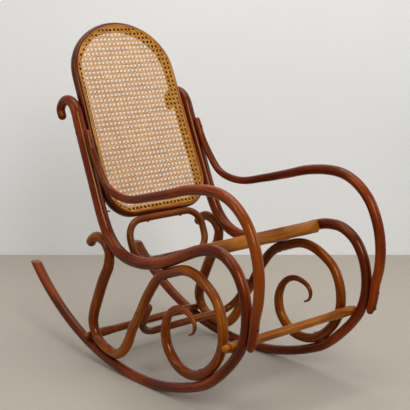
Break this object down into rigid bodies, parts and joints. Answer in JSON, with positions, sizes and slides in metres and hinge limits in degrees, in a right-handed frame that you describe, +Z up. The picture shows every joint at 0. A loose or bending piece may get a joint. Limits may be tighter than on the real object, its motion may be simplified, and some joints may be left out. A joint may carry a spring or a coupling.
{
  "type": "bentwood rocking chair",
  "caption": "Armed rocking chair of bent round wood: long curved side rails run into rockers, with scrolled side supports, a caned arched back and a caned seat.",
  "frame": {"origin": "on the floor, below the middle of the chair's bounding box", "axes": "+Z up, the sitter faces -Y, +X towards the sitter's left"},
  "size_m": [0.5568, 1.156, 1.0761],
  "materials": {
    "dark_wood": "bent beech stained dark red-brown under gloss lacquer",
    "scroll_wood": "bent beech stained red-brown under gloss lacquer",
    "loop_wood": "bent beech stained mid brown under satin lacquer",
    "honey_wood": "honey coloured beech under satin lacquer",
    "cane": "pale woven cane with a slight natural gloss",
    "spline": "tan cane spline pressed into its groove",
    "steel": "dull darkened steel screw"
  },
  "bodies": {
    "root": {"screw_arm_post_upper_right": "steel", "screw_arm_post_lower_right": "steel", "screw_arm_front_upper_right": "steel", "screw_arm_front_lower_right": "steel", "screw_hook_right": "steel", "screw_scroll_rear_right": "steel", "screw_scroll_crown_right": "steel", "screw_scroll_front_right": "steel", "screw_back_upper_right": "steel", "screw_back_lower_right": "steel", "screw_seat_front_right": "steel", "bolt_seat_side_right": "steel", "screw_brace_right": "steel", "screw_front_stretcher_right": "steel", "screw_rear_stretcher_right": "steel", "screw_loop_top_right": "steel", "screw_loop_foot_right": "steel", "screw_arm_post_upper_left": "steel", "screw_arm_post_lower_left": "steel", "screw_arm_front_upper_left": "steel", "screw_arm_front_lower_left": "steel", "screw_hook_left": "steel", "screw_scroll_rear_left": "steel", "screw_scroll_crown_left": "steel", "screw_scroll_front_left": "steel", "screw_back_upper_left": "steel", "screw_back_lower_left": "steel", "screw_seat_front_left": "steel", "bolt_seat_side_left": "steel", "screw_brace_left": "steel", "screw_front_stretcher_left": "steel", "screw_rear_stretcher_left": "steel", "screw_loop_top_left": "steel", "screw_loop_foot_left": "steel", "side_rail_right": "dark_wood", "arm_right": "dark_wood", "scroll_right": "scroll_wood", "seat_spacer_right": "dark_wood", "side_rail_left": "dark_wood", "arm_left": "dark_wood", "scroll_left": "scroll_wood", "seat_spacer_left": "dark_wood", "back_frame": "dark_wood", "back_cane_spline": "spline", "back_cane": "cane", "seat_frame": "dark_wood", "seat_cane_spline": "spline", "seat_cane": "cane", "seat_front_rail": "honey_wood", "back_loop": "loop_wood", "front_stretcher": "honey_wood", "rear_stretcher": "scroll_wood", "under_brace": "scroll_wood"}
  },
  "joints": []
}
